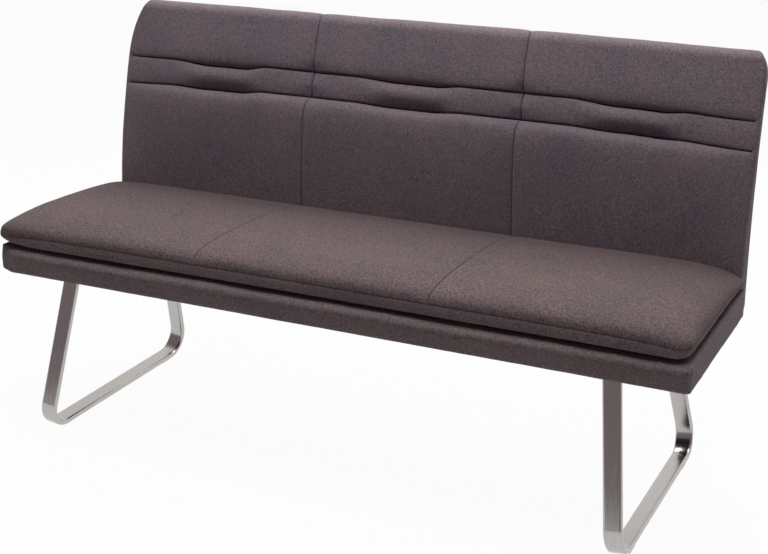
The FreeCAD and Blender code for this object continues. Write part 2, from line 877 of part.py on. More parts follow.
def seat_pieces():
    """The seat's wooden frame, straps and upholstery, without its cushion."""
    return {
        "seat_front_rail": front_rail(),
        "seat_rear_rail": rear_rail(),
        "seat_right_end_rail": end_rail(),
        "seat_left_end_rail": mirrored(end_rail()),
        "seat_right_cross_rail": cross_rail(),
        "seat_left_cross_rail": mirrored(cross_rail()),
        "seat_centre_rail": centre_rail(),
        "seat_corner_blocks": corner_blocks(),
        "seat_webbing_straps": webbing_straps(),
        "seat_dust_cover": dust_cover(),
        "seat_base_padding": seat_base_padding(),
        "seat_base_cover": seat_base_cover(),
    }


def centre_on_floor(pieces):
    """The whole bench, moved so that the origin is under the middle of its box."""
    box = Part.makeCompound(list(pieces.values())).optimalBoundingBox(False, False)
    shift = V(-(box.XMin + box.XMax) / 2, -(box.YMin + box.YMax) / 2, -box.ZMin)
    for shape in pieces.values():
        shape.translate(shift)
    print("the seat base's front face is at y", round(shift.y, 3))


def main():
    pieces = {}
    pieces.update(leg_pieces())
    pieces.update(seat_pieces())
    pieces.update(cushion_pieces())
    pieces.update(back_core_pieces())
    pieces.update(back_cover_pieces())
    pieces["back_bolts"] = bolts()
    pieces["back_bolt_washers"] = washers()
    pieces["back_barrel_nuts"] = barrel_nuts()
    centre_on_floor(pieces)
    os.makedirs("parts", exist_ok=True)
    for name, shape in pieces.items():
        shape.exportStep("parts/" + name + ".step")


main()
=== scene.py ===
"""An upholstered dining bench with a pleated back, on two bent steel leg loops."""
import json
import math

import bmesh
import bpy
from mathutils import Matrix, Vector, noise

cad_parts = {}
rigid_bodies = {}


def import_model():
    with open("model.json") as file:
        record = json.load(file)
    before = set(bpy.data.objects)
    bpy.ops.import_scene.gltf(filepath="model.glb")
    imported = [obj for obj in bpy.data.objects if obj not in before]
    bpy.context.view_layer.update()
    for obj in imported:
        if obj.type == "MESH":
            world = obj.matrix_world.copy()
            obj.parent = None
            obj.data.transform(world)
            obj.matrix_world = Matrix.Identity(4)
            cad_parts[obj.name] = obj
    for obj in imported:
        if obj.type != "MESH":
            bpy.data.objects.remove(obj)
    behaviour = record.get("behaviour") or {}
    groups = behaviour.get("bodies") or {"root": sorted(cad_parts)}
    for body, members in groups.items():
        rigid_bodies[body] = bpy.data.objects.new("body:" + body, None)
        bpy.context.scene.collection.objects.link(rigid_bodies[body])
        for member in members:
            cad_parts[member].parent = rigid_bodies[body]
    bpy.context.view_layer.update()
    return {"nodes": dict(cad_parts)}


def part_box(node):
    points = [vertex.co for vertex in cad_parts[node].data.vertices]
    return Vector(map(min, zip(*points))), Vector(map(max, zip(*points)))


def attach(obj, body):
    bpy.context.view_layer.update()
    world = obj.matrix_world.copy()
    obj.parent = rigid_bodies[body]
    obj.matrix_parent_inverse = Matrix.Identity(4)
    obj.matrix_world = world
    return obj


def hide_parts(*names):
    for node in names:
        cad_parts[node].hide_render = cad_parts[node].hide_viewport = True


for left_over in list(bpy.data.objects):
    bpy.data.objects.remove(left_over)
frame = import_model()
nodes = frame["nodes"]
scene = bpy.context.scene

# Places shared with the CAD model, in metres
seat_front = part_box("seat_base_cover")[0].y
seat_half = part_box("seat_base_cover")[1].x
seat_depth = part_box("seat_base_cover")[1].y - seat_front
seat_rear = seat_front + seat_depth
base_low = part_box("seat_base_cover")[0].z
cushion_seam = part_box("seat_cushion_border")[1].z
cushion_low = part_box("seat_cushion_border")[0].z
cushion_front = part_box("seat_cushion_border")[0].y
cushion_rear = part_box("seat_cushion_border")[1].y
cushion_depth = cushion_rear - cushion_front
cushion_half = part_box("seat_cushion_border")[1].x
cushion_seam_x = 0.265
back_front = seat_front + 0.4433
back_level = 0.364
back_radius = 1.5
back_half = 0.7655
back_taper = math.tan(math.radians(1.1))

# Lengths up the back's front, from its lower edge to its rounded top
back_bottom = -0.004
lower_pleat = 0.3475
upper_pleat = 0.4065
back_cap = 0.510
back_shoulder = 0.519
back_thickness = 0.056
back_crest = back_thickness / 2
back_top = back_shoulder + back_crest

# Radii of turned edges, gaps and reaches
end_turn = 0.006
bottom_turn = 0.009
pleat_turn = 0.0040
cap_turn = 0.0022
pleat_gap = 0.0007
seam_gap = 0.0004
corner_reach = 0.10
foam_depth = 0.012
foam_give = 0.0085
weld_distance = 0.000002


# Curves and noise

def clamp(value, low=0.0, high=1.0):
    return max(low, min(high, value))


def smooth(low, high, value):
    """From 0 at the low value to 1 at the high one, with soft ends."""
    share = clamp((value - low) / (high - low))
    return share * share * (3 - 2 * share)


def fade(distance, reach):
    """From 1 at a place to almost 0 a few reaches away from it."""
    return math.exp(-distance / reach)


def curve(*points):
    """A smooth curve through a few points that doesn't overshoot between them."""
    xs = [p[0] for p in points]
    ys = [p[1] for p in points]
    steps = [(ys[i + 1] - ys[i]) / (xs[i + 1] - xs[i]) for i in range(len(xs) - 1)]
    slopes = [steps[0]]
    for before, after in zip(steps, steps[1:]):
        slopes.append(0.0 if before * after <= 0 else 2 * before * after / (before + after))
    slopes.append(steps[-1])

    def at(x):
        x = clamp(x, xs[0], xs[-1])
        i = 0
        while i < len(xs) - 2 and x > xs[i + 1]:
            i += 1
        width = xs[i + 1] - xs[i]
        t = (x - xs[i]) / width
        return ((1 + 2 * t) * (1 - t) ** 2 * ys[i] + t * (1 - t) ** 2 * width * slopes[i]
                + t * t * (3 - 2 * t) * ys[i + 1] - t * t * (1 - t) * width * slopes[i + 1])

    return at


def ripple(x, y, z, scale):
    """Smooth noise between -1 and 1, the same in every run."""
    return noise.noise(Vector((x, y, z)) * scale)


def edge_roll(distance, radius):
    """How far a surface turns in near an edge that is rounded to a radius."""
    if distance >= radius:
        return 0.0
    return radius - math.sqrt(max(radius ** 2 - (radius - distance) ** 2, 0.0))


def corner_draw(share, radius):
    """How far a rounded corner lies in, at a share of the way round it."""
    return radius * (1 - math.sqrt(1 - share * share))


def near_end(x, half):
    """From 0 away from a piece's ends to 1 at them."""
    return clamp((abs(x) - (half - corner_reach)) / corner_reach)


fine_steps = (0.0, 0.0004, 0.001, 0.0018, 0.003, 0.0048, 0.0075, 0.0115, 0.017, 0.024)
tucks = (0.0075, 0.0035)


def places(length, coarse):
    """Distances along a length, close together near both ends."""
    edge = [d for d in fine_steps if d < length * 0.4]
    inner = length - 2 * edge[-1]
    count = max(1, round(inner / coarse))
    middle = [edge[-1] + inner * k / count for k in range(1, count)]
    return edge + middle + [length - d for d in reversed(edge)]


def stations(length, coarse):
    """Such distances with how deep each is tucked in: the cloth turns in at both ends."""
    flat = [(d, 0.0) for d in places(length, coarse)]
    return [(0.0, t) for t in tucks] + flat + [(length, t) for t in reversed(tucks)]


# Meshes

def make_piece(name, rows, material, closed=True, looped=False, ring=False):
    """A mesh piece from rows of points. Each row can be a loop, and the rows can join to a ring."""
    shape = bmesh.new()
    grid = [[shape.verts.new(p) for p in row] for row in rows]
    for low, high in zip(grid, grid[1:] + grid[:1] if ring else grid[1:]):
        count = len(low)
        for i in range(count if looped else count - 1):
            k = (i + 1) % count
            shape.faces.new((low[i], low[k], high[k], high[i]))
    if closed:
        bmesh.ops.remove_doubles(shape, verts=shape.verts[:], dist=weld_distance)
        bmesh.ops.dissolve_degenerate(shape, edges=shape.edges[:], dist=weld_distance)
        bmesh.ops.holes_fill(shape, edges=[e for e in shape.edges if e.is_boundary], sides=0)
        bmesh.ops.recalc_face_normals(shape, faces=shape.faces[:])
        if shape.calc_volume(signed=True) < 0:
            bmesh.ops.reverse_faces(shape, faces=shape.faces[:])
    mesh = bpy.data.meshes.new(name)
    shape.to_mesh(mesh)
    shape.free()
    mesh.polygons.foreach_set("use_smooth", [True] * len(mesh.polygons))
    mesh.materials.append(material)
    piece = bpy.data.objects.new(name, mesh)
    scene.collection.objects.link(piece)
    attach(piece, "root")
    return piece


def dress(piece, cloth_slot, fill, *replaced):
    """Hide the CAD nodes that a padded piece stands for; its slot and its filling are not used."""
    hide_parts(*replaced)


# Materials

class Tree:
    """A node tree, with short calls that add nodes and give back their outputs."""

    mix_first, mix_second, mix_result = 6, 7, 2

    def __init__(self, tree):
        self.tree = tree
        self.tree.nodes.clear()

    def add(self, kind, **values):
        node = self.tree.nodes.new(kind)
        for key, value in values.items():
            if hasattr(node, key):
                setattr(node, key, value)
            else:
                node.inputs[key.replace("_", " ")].default_value = value
        return node

    def link(self, source, target, into):
        self.tree.links.new(source, target.inputs[into])

    def math(self, operation, *values):
        """A calculation with numbers or other nodes' outputs."""
        node = self.add("ShaderNodeMath", operation=operation)
        for place, value in enumerate(values):
            if isinstance(value, float):
                node.inputs[place].default_value = value
            else:
                self.link(value, node, place)
        return node.outputs[0]

    def blend(self, share, first, second):
        """A mix of two shaders."""
        node = self.add("ShaderNodeMixShader")
        for place, source in enumerate((share, first, second)):
            self.link(source, node, place)
        return node.outputs[0]


class Material(Tree):
    """A material's node tree, which starts with one shader."""

    def __init__(self, name):
        self.material = bpy.data.materials.new(name)
        self.material.use_nodes = True
        super().__init__(self.material.node_tree)
        self.output = self.add("ShaderNodeOutputMaterial")
        self.shader = self.add("ShaderNodeBsdfPrincipled")
        self.link(self.shader.outputs["BSDF"], self.output, "Surface")
        self.place = self.add("ShaderNodeTexCoord").outputs["Object"]

    def feed(self, **sources):
        """Link outputs to the shader's inputs."""
        for key, source in sources.items():
            self.link(source, self.shader, key.replace("_", " "))

    def set(self, **values):
        """Set the shader's inputs to plain values."""
        for key, value in values.items():
            self.shader.inputs[key.replace("_", " ")].default_value = value

    def scaled(self, scale):
        mapping = self.add("ShaderNodeMapping", Scale=scale)
        self.link(self.place, mapping, "Vector")
        return mapping.outputs["Vector"]

    def noise(self, scale, detail=2.0, rough=0.5, vector=None):
        texture = self.add("ShaderNodeTexNoise", Scale=scale, Detail=detail, Roughness=rough)
        self.link(vector or self.place, texture, "Vector")
        return texture.outputs["Fac"]

    def ramp(self, source, *stops):
        """Colours, or greys given as one number, by a value."""
        node = self.add("ShaderNodeValToRGB")
        elements = node.color_ramp.elements
        for element, (place, colour) in zip(elements, stops):
            element.position = place
            element.color = (*colour, 1.0) if isinstance(colour, tuple) else (*[colour] * 3, 1.0)
        self.link(source, node, "Fac")
        return node.outputs["Color"]

    def mix(self, kind, first, second, share=1.0):
        node = self.add("ShaderNodeMix", data_type="RGBA", blend_type=kind, Factor=share)
        self.link(first, node, self.mix_first)
        self.link(second, node, self.mix_second)
        return node.outputs[self.mix_result]

    def bump(self, height, distance, strength, below=None):
        node = self.add("ShaderNodeBump", Strength=strength, Distance=distance)
        self.link(height, node, "Height")
        if below:
            self.link(below, node, "Normal")
        return node.outputs["Normal"]


def upholstery(name, dark, light, streaks, grain=330.0, sheen=0.22):
    """A flat-woven melange cloth: mixed yarn flecks, faint thread streaks and rubbed patches."""
    m = Material(name)
    flecks = m.noise(grain, detail=4.0, rough=0.70)
    colour = m.ramp(flecks, (0.34, dark), (0.64, light))
    threads = m.noise(1.0, rough=0.6, vector=m.scaled(streaks))
    lines = m.ramp(threads, (0.35, 0.86), (0.65, 1.12))
    patches = m.noise(7.0, detail=3.0, rough=0.55)
    rubbed = m.ramp(patches, (0.3, (0.92, 0.935, 0.96)), (0.7, (1.08, 1.055, 1.03)))
    dye = m.noise(15.0, detail=1.0)
    hue = m.ramp(dye, (0.32, (0.96, 0.98, 1.02)), (0.68, (1.04, 1.015, 0.98)))
    for tint in (lines, rubbed, hue):
        colour = m.mix("MULTIPLY", colour, tint)
    yarn = m.noise(1.0, detail=1.0, vector=m.scaled((1500.0, 1500.0, 300.0)))
    weft = m.noise(1.0, detail=1.0, vector=m.scaled((300.0, 1500.0, 1500.0)))
    weave = m.bump(m.mix("DIFFERENCE", yarn, weft), distance=0.0012, strength=0.6)
    m.feed(Base_Color=colour,
           Roughness=m.ramp(flecks, (0.3, 0.94), (0.7, 0.80)),
           Normal=m.bump(flecks, distance=0.0009, strength=0.55, below=weave))
    m.set(Sheen_Weight=sheen, Sheen_Roughness=0.45, Sheen_Tint=(0.86, 0.80, 0.84, 1.0),
          Specular_IOR_Level=0.25)
    return m.material


def brushed_steel(name, colour, roughness, lines):
    """Steel with fine lines along the tube and a little cloudiness."""
    m = Material(name)
    grain = m.noise(1.0, detail=3.0, rough=0.6, vector=m.scaled(lines))
    darker = tuple(0.90 * c for c in colour)
    lighter = tuple(min(1.06 * c, 1.0) for c in colour)
    clouds = m.mix("MULTIPLY", grain, m.noise(14.0), share=0.5)
    m.feed(Base_Color=m.ramp(grain, (0.3, darker), (0.7, lighter)),
           Roughness=m.ramp(clouds, (0.15, roughness * 0.8), (0.6, roughness * 1.3)),
           Normal=m.bump(grain, distance=0.0001, strength=0.25))
    m.set(Metallic=1.0)
    return m.material


def timber(name, dark, light):
    """Planed wood with long grain lines along the bench."""
    m = Material(name)
    rings = m.noise(1.0, detail=4.0, rough=0.6, vector=m.scaled((3.0, 60.0, 60.0)))
    pores = m.noise(1.0, vector=m.scaled((20.0, 900.0, 900.0)))
    m.feed(Base_Color=m.ramp(rings, (0.3, dark), (0.7, light)),
           Roughness=m.ramp(pores, (0.3, 0.55), (0.7, 0.75)),
           Normal=m.bump(pores, distance=0.0004, strength=0.4))
    return m.material


def plain_weave(name, dark, light, scale):
    """A thin woven cloth or strap, with crossing threads."""
    m = Material(name)
    threads = []
    for direction in "XY":
        wave = m.add("ShaderNodeTexWave", Scale=scale, Distortion=1.5, Detail=1.0,
                     bands_direction=direction)
        m.link(m.place, wave, "Vector")
        threads.append(wave.outputs["Fac"])
    cross = m.mix("DIFFERENCE", *threads)
    m.feed(Base_Color=m.ramp(cross, (0.1, dark), (0.9, light)),
           Roughness=m.ramp(cross, (0.1, 0.95), (0.9, 0.82)),
           Normal=m.bump(cross, distance=0.0004, strength=0.5))
    return m.material


def speckled(name, dark, light, scale, roughness, depth):
    """Foam, moulded plastic or paint: a fine speckle in tone, gloss and relief."""
    m = Material(name)
    grain = m.noise(scale, detail=3.0, rough=0.6)
    m.feed(Base_Color=m.ramp(grain, (0.3, dark), (0.7, light)),
           Roughness=m.ramp(grain, (0.3, roughness * 0.85), (0.7, roughness * 1.1)),
           Normal=m.bump(grain, distance=depth, strength=0.5))
    return m.material


# One cloth covers the seat, the back and the base. These three copies of it differ as painted
# light: the seat's copy is darker and warmer, as painted shade for the back's shadow across the
# seat; the back's copy is lighter and bluer, as painted light and painted shade on its upright
# face; the base's copy is a little lighter, as painted light.
back_cloth = upholstery("back_cloth", (0.092, 0.073, 0.083), (0.256, 0.208, 0.235),
                        streaks=(900.0, 900.0, 70.0))
seat_cloth_painted_shade = upholstery("seat_cloth_painted_shade", (0.056, 0.041, 0.0425), (0.180, 0.133, 0.137),
                        streaks=(700.0, 120.0, 700.0), grain=245.0, sheen=0.08)
base_cloth = upholstery("base_cloth", (0.098, 0.077, 0.081), (0.268, 0.210, 0.222),
                        streaks=(160.0, 900.0, 900.0), grain=270.0)
lining = plain_weave("lining", (0.012, 0.011, 0.012), (0.045, 0.042, 0.044), scale=380.0)
# The foam is coloured charcoal as painted shade: it shows through the gaps at the back's pleats,
# where its dark colour stands for the shade in the creases.
foam = speckled("foam", (0.020, 0.018, 0.019), (0.050, 0.046, 0.048),
                scale=500.0, roughness=0.9, depth=0.0015)

looks = {
    "leg_steel": brushed_steel("brushed_leg_steel", (0.47, 0.452, 0.440),
                               roughness=0.21, lines=(500.0, 30.0, 30.0)),
    "fastener_steel": brushed_steel("zinc_steel", (0.58, 0.58, 0.56),
                                    roughness=0.32, lines=(300.0, 300.0, 300.0)),
    "plate_steel": speckled("black_plate", (0.012, 0.012, 0.013), (0.030, 0.030, 0.032),
                            scale=700.0, roughness=0.45, depth=0.0003),
    "glide_plastic": speckled("black_glide", (0.010, 0.010, 0.011), (0.028, 0.028, 0.030),
                              scale=900.0, roughness=0.5, depth=0.0003),
    "frame_wood": timber("frame_wood", (0.42, 0.28, 0.15), (0.66, 0.50, 0.32)),
    "board": timber("plywood", (0.40, 0.27, 0.15), (0.58, 0.43, 0.27)),
    "webbing": plain_weave("webbing", (0.05, 0.035, 0.025), (0.17, 0.13, 0.10), scale=260.0),
}
for node in nodes.values():
    for place in node.material_slots:
        if place.material and place.material.name in looks:
            place.material = looks[place.material.name]


# Back rest surface

def back_point(x, n, s):
    """A point of the back: along the bench, a depth behind the front surface and a length up it."""
    rise = clamp(n / back_thickness)
    if x > 0:
        reach_x, reach_s = 0.036, 0.062
    else:
        reach_x, reach_s = 0.058 - 0.041 * rise, 0.160 - 0.126 * rise
    dip = 0.0020 + 0.0045 * smooth(0.30, 0.77, x)
    s -= dip * smooth(upper_pleat, back_shoulder, s)
    round_corner = clamp((s - (back_top - reach_s)) / reach_s)
    near = near_end(x, back_half)
    x -= math.copysign(corner_draw(round_corner, reach_x) * near * near, x)
    if x > 0:
        flare = 0.005 * (1 - rise)
        x += flare * smooth(0.10, 0.35, s) * near * near
    turn = s / back_radius
    reach = back_radius - n
    z = back_level + reach * math.sin(turn)
    narrowing = back_taper * (z - back_level) / back_half
    return Vector((x * (1 - narrowing), back_front + back_radius - reach * math.cos(turn), z))


def seam_x(s):
    """Where the two upright seams stand, which lean in slightly."""
    return 0.2615 - 0.011 * s


# Each column of panels: its two sides, and whether each is sewn to the next column
columns = {
    "left": (lambda s: -back_half, lambda s: -seam_x(s), False, True),
    "centre": (lambda s: -seam_x(s), seam_x, True, True),
    "right": (seam_x, lambda s: back_half, True, False),
}
panel_lengths = {"left": 0.503, "centre": 0.52, "right": 0.503}

# Each column's pleats: where they open, how both hang and part at the bench's end, and their bows
pleats = {
    "left": {"shift": 0.035, "sag": 0.004, "parting": 0.0060, "lower": 0.0075, "upper": 0.0085},
    "centre": {"shift": 0.0, "sag": 0.0, "parting": 0.0, "lower": 0.0045, "upper": 0.0055},
    "right": {"shift": 0.0, "sag": 0.0110, "parting": 0.0020, "lower": 0.0045, "upper": 0.0080},
}


def opened(column, t):
    """How far the pleats stand open at a share along a panel."""
    t -= pleats[column]["shift"]
    return smooth(0.20, 0.42, t) * (1 - smooth(0.60, 0.735, t))


def towards_end(column, t):
    """From 0 inside a panel to 1 at the end of the bench."""
    return smooth(0.45, 1.0, {"left": 1 - t, "centre": 0.0, "right": t}[column])


def lower_line(column, t):
    """The height of the lower pleat at a share along a panel."""
    shape = pleats[column]
    end = towards_end(column, t)
    bow = shape["lower"] * opened(column, t)
    return lower_pleat - bow - shape["sag"] * end - shape["parting"] * end


def upper_line(column, t):
    """The height of the upper pleat at a share along a panel."""
    shape = pleats[column]
    return upper_pleat - shape["upper"] * opened(column, t) - shape["sag"] * towards_end(column, t)


def middle_share(x):
    """From 0 at the ends of the bench to 1 away from them."""
    return math.sin(math.pi / 2 * clamp((back_half - abs(x)) / 0.13))


# How deep the panels lie, by the length up the back, in the middle of the bench and at its ends
lower_face = curve((-0.004, 0.0), (0.05, -0.0012), (0.10, -0.0040), (0.15, -0.0085),
                   (0.20, -0.0138), (0.25, -0.0190), (0.285, -0.0222), (0.305, -0.0234),
                   (0.320, -0.0232), (0.331, -0.0218), (0.340, -0.0185), (0.3475, -0.0130))
lower_end = curve((-0.004, 0.0), (0.2, 0.001), (0.325, 0.003), (0.340, 0.005), (0.3475, 0.008))
upper_face = curve((0.4065, 0.0045), (0.412, 0.0022), (0.420, 0.0004), (0.432, -0.0007),
                   (0.450, -0.0010), (0.475, -0.0006), (0.519, 0.0))
upper_end = curve((0.4065, 0.007), (0.414, 0.0046), (0.425, 0.003), (0.50, 0.002),
                  (0.519, 0.0015))


def across(column, s, distance, length):
    """The place along the bench at a distance into a column of panels."""
    low_side, high_side, sewn_low, sewn_high = columns[column]
    low = low_side(s) + (seam_gap if sewn_low else 0.0)
    high = high_side(s) - (seam_gap if sewn_high else 0.0)
    return low + (high - low) * distance / length


def upright_edges(column, distance, length):
    """The distances to a panel's two upright edges, each with whether it is sewn."""
    return zip((distance, length - distance), columns[column][2:])


def from_pleat(s):
    """The distance from the nearer pleat."""
    return min(abs(s - lower_pleat), abs(s - upper_pleat))


def side_draw(column, x, s, distance, length):
    """How far a panel is pulled in softly beside its seams, most where they cross a pleat."""
    drawn = 0.0
    for d, sewn in upright_edges(column, distance, length):
        if sewn:
            pucker = 0.0007 * ripple(x, s, 3.1, 55.0) * fade(d, 0.014)
            pulled = 0.0060 * math.exp(-(from_pleat(s) / 0.020) ** 2 - (d / 0.024) ** 2)
            beside = 0.0055 * fade(d, 0.010)
            around = 0.0030 * fade(d, 0.040)
            drawn += beside + around + pucker + pulled
    return drawn


def side_edge(column, s, distance, length):
    """How far a panel turns in at its upright edges, rounder where a seam crosses a pleat."""
    seam_turn = 0.0026 + 0.0050 * math.exp(-(from_pleat(s) / 0.015) ** 2)
    return sum(edge_roll(d, seam_turn if sewn else end_turn)
               for d, sewn in upright_edges(column, distance, length))


def held(depth):
    """A depth that stays short of the foam."""
    if depth < foam_depth:
        return depth
    return foam_depth + foam_give * (1 - fade(depth - foam_depth, foam_give))


def slack(x, s, seed):
    """The gentle unevenness of cloth over foam."""
    return (0.0011 * ripple(x, s, seed, 6.0) + 0.0006 * ripple(x, s, seed + 4.7, 17.0)
            + 0.00022 * ripple(x, s, seed, 60.0))


def cloth_depth(column, x, s, d, length, face, seed, pull=1.0):
    """How deep a panel's cloth lies, with the pull of its seams, its turned sides and its slack."""
    drawn = held(face + side_draw(column, x, s, d, length) * pull)
    return drawn + side_edge(column, s, d, length) + slack(x, s, seed)


def lower_panel(column):
    """One of the back's large lower fields, which swells out below the pleats."""
    length = panel_lengths[column]
    height = lower_pleat - back_bottom
    rows = []
    for up, tuck_s in stations(height, coarse=0.005):
        row = []
        for d, tuck_x in stations(length, coarse=0.0055):
            t = d / length
            line = lower_line(column, t)
            s = back_bottom + up * (line - back_bottom) / height
            x = across(column, s, d, length)
            place = s * lower_pleat / line
            share = middle_share(x)
            face = share * lower_face(place) + (1 - share) * lower_end(place)
            n = cloth_depth(column, x, s, d, length, face, seed=1.3)
            n += 0.003 * opened(column, t) * fade(height - up, 0.006)
            n += edge_roll(up, bottom_turn) + edge_roll(height - up, pleat_turn + 0.010 * share)
            n += tuck_s + tuck_x
            row.append(back_point(x, n, s - pleat_gap * up / lower_pleat))
        rows.append(row)
    return rows


def band_panel(column):
    """A field of the band between the pleats, which puffs out where they stand open."""
    length = panel_lengths[column]
    height = upper_pleat - lower_pleat
    rows = []
    for up, tuck_s in stations(height, coarse=0.0025):
        b = up / height
        shut_swell = abs(math.sin(math.pi * b)) ** 0.42
        open_swell = abs(math.sin(math.pi * b ** 1.35)) ** 0.75
        row = []
        for d, tuck_x in stations(length, coarse=0.005):
            t = d / length
            gape = opened(column, t)
            low = lower_line(column, t) + pleat_gap
            high = upper_line(column, t) - pleat_gap * (1 + 1.5 * gape)
            s = low + (high - low) * b
            x = across(column, s, d, length)
            share = middle_share(x)
            swell = (1 - gape) * shut_swell + gape * open_swell
            puff = 0.0062 + 0.0105 * gape
            middle_face = 0.0095 + 0.0060 * gape - puff * swell
            end_face = 0.0085 - 0.0040 * swell
            face = share * middle_face + (1 - share) * end_face
            n = cloth_depth(column, x, s, d, length, face, seed=5.9)
            n += edge_roll(up, pleat_turn) + edge_roll(height - up, pleat_turn) + tuck_s + tuck_x
            row.append(back_point(x, n, s))
        rows.append(row)
    return rows


def over_top(distance, start):
    """Where a length from a pleat over the back's top edge lies, and the way in from there."""
    rise = back_shoulder - start
    if distance < rise:
        return 0.0, start + distance, 1.0, 0.0
    turn = (distance - rise) / back_crest
    if turn < math.pi:
        return (back_crest * (1 - math.cos(turn)), back_shoulder + back_crest * math.sin(turn),
                math.cos(turn), -math.sin(turn))
    return back_thickness, back_shoulder - (turn - math.pi) * back_crest, -1.0, 0.0


def upper_panel(column):
    """One of the back's upper fields, which wraps over its top edge."""
    length = panel_lengths[column]
    front_rise = back_shoulder - upper_pleat
    whole = front_rise + math.pi * back_crest + (back_shoulder - back_cap)
    rows = []
    for up, tuck_s in stations(whole, coarse=0.004):
        row = []
        for d, tuck_x in stations(length, coarse=0.0055):
            t = d / length
            start = upper_line(column, t) + pleat_gap
            stretch = (whole + upper_pleat - start) / whole
            n, s, inward_n, inward_s = over_top(up * stretch, start)
            x = across(column, s, d, length)
            face = 0.0
            if inward_n > 0.999:
                share = middle_share(x)
                place = upper_pleat + (s - start) * front_rise / (back_shoulder - start)
                place = clamp(place, upper_pleat, back_shoulder)
                face = share * upper_face(place) + (1 - share) * upper_end(place)
            pull = 0.30 + 0.70 * smooth(0.2, 1.0, inward_n)
            depth = cloth_depth(column, x, s, d, length, face, seed=8.2, pull=pull)
            depth += opened(column, t) * (0.0050 * fade(up, 0.024) + 0.0045 * fade(up, 0.005))
            depth += edge_roll(up, pleat_turn) + edge_roll(whole - up, cap_turn) + tuck_s + tuck_x
            row.append(back_point(x, n + depth * inward_n, s + depth * inward_s))
        rows.append(row)
    return rows


def rear_panel():
    """The cover of the back's rear, drawn in at its edges, with an inner side along its curve."""
    width = 2 * back_half
    height = back_cap - back_bottom
    inner_depth = 0.0165
    ups = places(height, coarse=0.014)
    rows = []
    for d in places(width, coarse=0.018):
        x = d - back_half
        row = []
        for up in ups:
            s = back_bottom + up
            swell = 0.0022 * math.sin(math.pi * clamp(up / height)) ** 0.5
            depth = edge_roll(d, end_turn) + edge_roll(width - d, end_turn)
            depth += edge_roll(up, bottom_turn)
            depth += edge_roll(height - up, cap_turn) + slack(x, s, seed=12.5) - swell
            row.append(back_point(x, back_thickness - depth, s))
        for up in reversed(ups):
            row.append(back_point(x, back_thickness - inner_depth, back_bottom + up))
        rows.append(row)
    return rows


def gusset(side):
    """A side strip of the back, rounded at its top."""
    proud = 0.0006
    strip_turn = 0.002
    lift = 0.002
    half = back_crest - (end_turn + proud)
    rise = back_shoulder - back_bottom - 0.003
    arc = math.pi / 2 * half
    last_turn = math.pi / 2 - 0.05
    rows = []
    for up, tuck_s in stations(rise + arc, coarse=0.010):
        row = []
        turn = max(up - rise, 0.0) / half
        width = half * math.cos(min(turn, last_turn))
        s = back_bottom + min(up, rise) + half * math.sin(turn) + lift
        for d, tuck_x in stations(2 * half, coarse=0.004):
            n = back_crest + (d / half - 1) * width
            depth = edge_roll(d, strip_turn) + edge_roll(2 * half - d, strip_turn)
            depth += tuck_s + tuck_x + 0.0008 * ripple(n, s, 2.0, 14.0)
            row.append(back_point(side * (back_half + proud - depth), n, s))
        rows.append(row)
    return rows


sheet_steps = 80
cross_steps = 24
lining_steps = 8


def flat_sheet(x_half, y_low, y_high, z, sag, seed):
    """A thin lining cloth that hangs slightly between its edges."""
    rows = []
    for j in range(cross_steps + 1):
        v = j / cross_steps
        row = []
        for i in range(sheet_steps + 1):
            u = i / sheet_steps
            hang = sag * (16 * u * (1 - u) * v * (1 - v)) ** 0.5
            row.append(Vector((x_half * (2 * u - 1), y_low + (y_high - y_low) * v,
                               z - hang + 0.0003 * ripple(u * 2, v, seed, 9.0))))
        rows.append(row)
    return rows


def back_lining():
    """The lining under the back's lower edge."""
    half = 0.756
    margin = end_turn - 0.002
    width = back_thickness - 2 * end_turn + 0.004
    rows = []
    for j in range(lining_steps + 1):
        n = margin + width * j / lining_steps
        row = []
        for i in range(sheet_steps + 1):
            x = half * (2 * i / sheet_steps - 1)
            uneven = 0.0006 * ripple(i * 0.1, j * 0.1, 4.0, 3.0)
            row.append(back_point(x, n, back_bottom + 0.0008 + uneven))
        rows.append(row)
    return rows


for column in columns:
    for field, panel, fill in (("lower", lower_panel, 0.8), ("band", band_panel, 0.7),
                               ("upper", upper_panel, 0.8)):
        pad = make_piece("back_%s_pad_%s" % (field, column), panel(column), back_cloth)
        dress(pad, "upholstery_fabric", fill, "back_%s_panel_%s" % (field, column))
dress(make_piece("back_rear_pad", rear_panel(), back_cloth, looped=True),
      "upholstery_fabric", 0.9, "back_rear_cover")
for name, side in (("left", -1), ("right", 1)):
    dress(make_piece("back_side_pad_" + name, gusset(side), back_cloth),
          "upholstery_fabric", 0.9, "back_%s_gusset" % name)
back_under = make_piece("back_under_lining", back_lining(), lining, closed=False)
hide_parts("back_underside_cloth")


# Seat cushion surface

# The cushion's height over its seam, by the distance from its front
crown_depth = 0.4545
crown = curve((0.0, 0.0), (0.001, 0.0050), (0.004, 0.0110), (0.010, 0.0165), (0.020, 0.0215),
              (0.035, 0.0255), (0.060, 0.0292), (0.090, 0.0315), (0.128, 0.0327), (0.200, 0.0308),
              (0.300, 0.0255), (0.380, 0.0180), (0.430, 0.0105), (crown_depth, 0.0060))
front_corner = 0.030
rear_corner = 0.022


def plan_point(x, y):
    """A point of the cushion's plan, with rounded corners and its long sides drawn in a little."""
    for distance, radius in ((y - cushion_front, front_corner), (cushion_rear - y, rear_corner)):
        drawn = corner_draw(clamp((radius - distance) / radius), radius)
        near = near_end(x, cushion_half)
        x -= math.copysign(drawn * near * near, x)
    bow = 0.004 * (1 - (x / cushion_half) ** 2)
    share = (y - cushion_front) / cushion_depth
    return x, y + bow * (1 - 2 * share)


